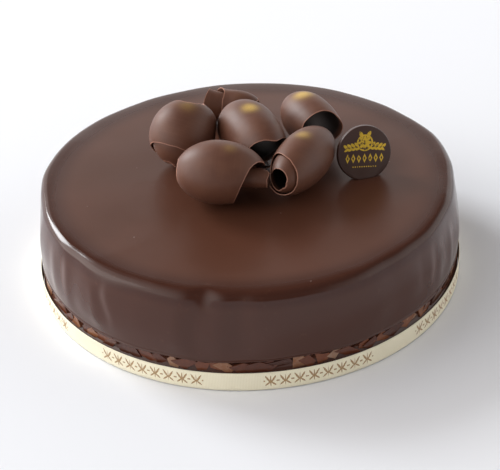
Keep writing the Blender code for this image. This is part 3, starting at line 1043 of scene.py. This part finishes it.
def flat_sheet(curl, seed):
    """The sheet before it is rolled, with its uneven edges, as a mesh with share, along and edge."""
    columns, rows = SHEET_COLUMNS, SHEET_ROWS
    long = 2 * math.pi * curl.turns * (curl.radius - curl.step * curl.turns / 2)
    half = curl.length / 2
    points = []
    shares = []
    alongs = []
    edges = []
    for column in range(columns + 1):
        t = column / columns
        base = 0.5 - 0.5 * math.cos(math.pi * t)
        base = 0.7 * t + 0.3 * base
        for row in range(rows + 1):
            across = math.sin(CROWDING * (2 * row / rows - 1)) / math.sin(CROWDING)
            tear = noise.noise((across * 6, seed, 0.5)) + 0.5 * noise.noise((across * 19, seed, 3.5))
            share = base + tear * 0.0009 / long * (eased((base - 0.9) / 0.1) - eased((0.1 - base) / 0.1))
            laps = curl.turns * (1 - base)
            late = eased((FLAP_TURNS[0] - laps) / FLAP_TURNS[1])
            low = through(curl.low, base)
            high = through(curl.high, base) + curl.flap[0] * late
            along = -low + (low + high) * (across + 1) / 2
            near = eased((abs(across) - 0.75) / 0.25)
            tear = noise.noise((base * 16, seed, 9.5 + across))
            tear += 0.5 * noise.noise((base * 52, seed, 5.5 + across))
            along += tear * curl.ragged / half * near
            tear = noise.noise((base * 70, seed, 2.5)) * curl.flap[0] * 0.7
            along += tear * late * eased((across - 0.4) / 0.6)
            points.append((share * long, along * half, 0))
            shares.append(min(max(share, 0), 1))
            alongs.append(along)
            ends = (low + high) / 2 * half * (1 - abs(across))
            edges.append(min(ends, base * long, (1 - base) * long))
    faces = []
    for column in range(columns):
        for row in range(rows):
            corner = column * (rows + 1) + row
            faces.append((corner, corner + rows + 1, corner + rows + 2, corner + 1))
    mesh = bpy.data.meshes.new("sheet")
    mesh.from_pydata(points, [], faces)
    for name, values in (("share", shares), ("along", alongs), ("edge", edges)):
        mesh.attributes.new(name, "FLOAT", "POINT").data.foreach_set("value", values)
    uv = mesh.uv_layers.new(name="sheet")
    for loop in mesh.loops:
        x, y, _ = points[loop.vertex_index]
        uv.data[loop.index].uv = (x, y)
    if curl.hand < 0:
        mesh.flip_normals()
    return mesh


def curl_insides(mesh, curl):
    """How much each point of a roll, still on its own axis, faces inwards, from 0 to 1."""
    values = []
    for vertex in mesh.vertices:
        outwards = Vector((0, vertex.co.y, vertex.co.z)).normalized()
        values.append(eased(0.5 - 0.9 * vertex.normal.dot(outwards)))
    return values


def make_curl(curl, number, group, look):
    obj = show("sheet", flat_sheet(curl, number * 13.7))
    inputs = {
        "Radius": curl.radius,
        "Turns": curl.turns,
        "Start": math.radians(curl.start),
        "Hand": float(curl.hand),
        "Step": curl.step,
        "Tuck": float(curl.tuck),
        "Over From": curl.over[0],
        "Over To": curl.over[1],
        "Low Taper": curl.taper[0],
        "High Taper": curl.taper[1],
        "Low Core": float(curl.core[0]),
        "High Core": float(curl.core[1]),
        "Drift Y": float(curl.drift[0]),
        "Drift Z": float(curl.drift[1]),
        "Half Length": curl.length / 2,
        "Stand Off": float(curl.flap[1]),
        "Uneven": CURL_UNEVEN,
        "Material": look,
    }
    thick = obj.vertex_groups.new(name="thick")
    for point, edge in enumerate(obj.data.attributes["edge"].data):
        thick.add((point,), eased(edge.value / EDGE_REACH), "REPLACE")
    with_nodes(obj, group, inputs)
    wall = obj.modifiers.new("thickness", "SOLIDIFY")
    wall.thickness = CHOCOLATE_THICKNESS
    wall.offset = -1
    wall.vertex_group = "thick"
    wall.thickness_vertex_group = EDGE_SHARE
    edge = obj.modifiers.new("broken edge", "BEVEL")
    edge.width = EDGE_ROUNDING
    edge.segments = 2
    edge.limit_method = "ANGLE"
    edge.angle_limit = math.radians(50)
    mesh = applied(obj)
    turn = Euler((0, math.radians(-curl.tilt), math.radians(curl.heading))).to_matrix().to_4x4()
    facing = curl_insides(mesh, curl)
    mesh.transform(turn)
    lowest = min(vertex.co.z for vertex in mesh.vertices)
    mesh.transform(Matrix.Translation((*curl.at, CAKE_HEIGHT + GAP - lowest)))
    mesh.attributes.new("inside", "FLOAT", "POINT").data.foreach_set("value", facing)
    spot, size, strength = curl.dust
    dust = [strength * hump((vertex.co - Vector(spot)).length, size) for vertex in mesh.vertices]
    mesh.attributes.new("dust", "FLOAT", "POINT").data.foreach_set("value", dust)
    mesh.shade_smooth()
    return show(curl.name + "_sheet", mesh)


def make_disc(look):
    """The disc on its edge, pressed a little into the glaze, with its face's own map for the ornament."""
    bpy.ops.mesh.primitive_cylinder_add(vertices=128, radius=DISC_RADIUS, depth=DISC_THICKNESS)
    obj = bpy.context.active_object
    edge = obj.modifiers.new("rounded edge", "BEVEL")
    edge.width = 0.0007
    edge.segments = 5
    edge.limit_method = "ANGLE"
    mesh = applied(obj)
    uv = mesh.uv_layers.new(name="face")
    for loop in mesh.loops:
        x, y, z = mesh.vertices[loop.vertex_index].co
        uv.data[loop.index].uv = (x, y) if z > 0 else (1, 1)
    upright = Euler((math.radians(90 - DISC_LEAN), 0, math.radians(DISC_TURN))).to_matrix().to_4x4()
    upright = upright @ Matrix.Rotation(math.radians(-PRINT_TURN), 4, "Z")
    centre = CAKE_HEIGHT + (DISC_RADIUS - DISC_SUNK) * math.cos(math.radians(DISC_LEAN))
    mesh.transform(Matrix.Translation((*DISC_AT, centre)) @ upright)
    for vertex in mesh.vertices:
        vertex.co.z = max(vertex.co.z, CAKE_HEIGHT + GAP)
    mesh.shade_smooth()
    mesh.materials.clear()
    mesh.materials.append(look)
    return show("chocolate_disc", mesh)


# Stage


def make_floor():
    bpy.ops.mesh.primitive_grid_add(x_subdivisions=8, y_subdivisions=8, size=12)
    floor = bpy.context.active_object
    floor.name = "floor"
    floor.location = (0, 0, -0.0002)
    floor.data.materials.append(floor_look())


def make_camera():
    data = bpy.data.cameras.new("camera")
    data.sensor_width = CAMERA_SENSOR
    data.lens = CAMERA_LENS
    camera = bpy.data.objects.new("camera", data)
    bpy.context.scene.collection.objects.link(camera)
    rise = math.radians(CAMERA_RISE)
    roll = math.radians(CAMERA_ROLL)
    ahead = Vector((0, math.cos(rise), -math.sin(rise)))
    right = Vector((1, 0, 0))
    up = right.cross(ahead)
    right, up = (
        math.cos(roll) * right + math.sin(roll) * up,
        -math.sin(roll) * right + math.cos(roll) * up,
    )
    place = Matrix((right, up, -ahead)).transposed().to_4x4()
    place.translation = Vector(CAMERA_AIM) - CAMERA_AWAY * ahead
    camera.matrix_world = place
    bpy.context.scene.camera = camera


def add_panel(name, direction, size, power, colour):
    """A soft light panel that looks at the cake from a direction."""
    data = bpy.data.lights.new(name, "AREA")
    data.shape = "RECTANGLE"
    data.size = size[0]
    data.size_y = size[1]
    data.energy = power
    data.color = colour
    panel = bpy.data.objects.new(name, data)
    bpy.context.scene.collection.objects.link(panel)
    towards = Vector(direction).normalized()
    panel.location = towards * PANEL_AWAY
    panel.rotation_euler = towards.to_track_quat("Z", "Y").to_euler()


def make_light():
    """The panels, and a world with bright sides. The top mirrors a dark and a bright band behind it."""
    for panel in PANELS:
        add_panel(*panel)
    world = bpy.data.worlds.new("studio")
    world.use_nodes = True
    world.node_tree.nodes.clear()
    tree = Tree(world.node_tree)
    ray = tree.node("ShaderNodeTexCoord", None, None, "Generated")
    back = tree.node("ShaderNodeSeparateXYZ", None, {0: ray}, "Y")
    level = back.also("Z")
    across = back.also("X")
    bright = 0.43 + tree.smooth(across, -0.1, -0.9) * 2.3 + tree.smooth(across, 0.45, 0.95) * 1.3
    bright = bright - tree.smooth(back, 0.0, -0.8) * tree.smooth(level, 0.75, 0.4) * 0.16
    bright = bright - tree.smooth(level, 0.55, 0.85) * 0.16
    behind = tree.smooth(back, 0.35, 0.75)
    colour = tree.mixed(bright / 3, (0, 0, 0, 1), (3.0, 2.9, 2.82, 1))
    colour = tree.mixed(behind * tree.smooth(level, 0.46, 0.56), colour, (0.20, 0.18, 0.16, 1))
    colour = tree.mixed(behind * tree.smooth(level, 0.53, 0.42), colour, (1.80, 1.74, 1.72, 1))
    shader = tree.node("ShaderNodeBackground", None, {"Color": colour, "Strength": WORLD_STRENGTH})
    tree.node("ShaderNodeOutputWorld", None, {"Surface": shader})
    bpy.context.scene.world = world
    view = bpy.context.scene.view_settings
    view.view_transform = "Standard"
    view.look = "None"


def place(piece, slot, *nodes):
    """The piece rides on the cake, and stands for these nodes."""
    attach(piece, "root")
    if nodes:
        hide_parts(*nodes)


def main():
    glaze = glaze_look()
    place(make_glaze(glaze), "glaze", "cake")
    place(make_flakes(flake_look()), "glaze", "cake")
    ribbon, cut = make_ribbon(ribbon_look())
    place(ribbon, "ribbon", "ribbon")
    group = curl_group()
    look = curl_look()
    for number, curl in enumerate(CURLS):
        place(make_curl(curl, number + 1, group, look), "chocolate", curl.name)
    place(make_disc(disc_look()), "dark_chocolate", "disc")
    make_floor()
    make_camera()
    make_light()


main()
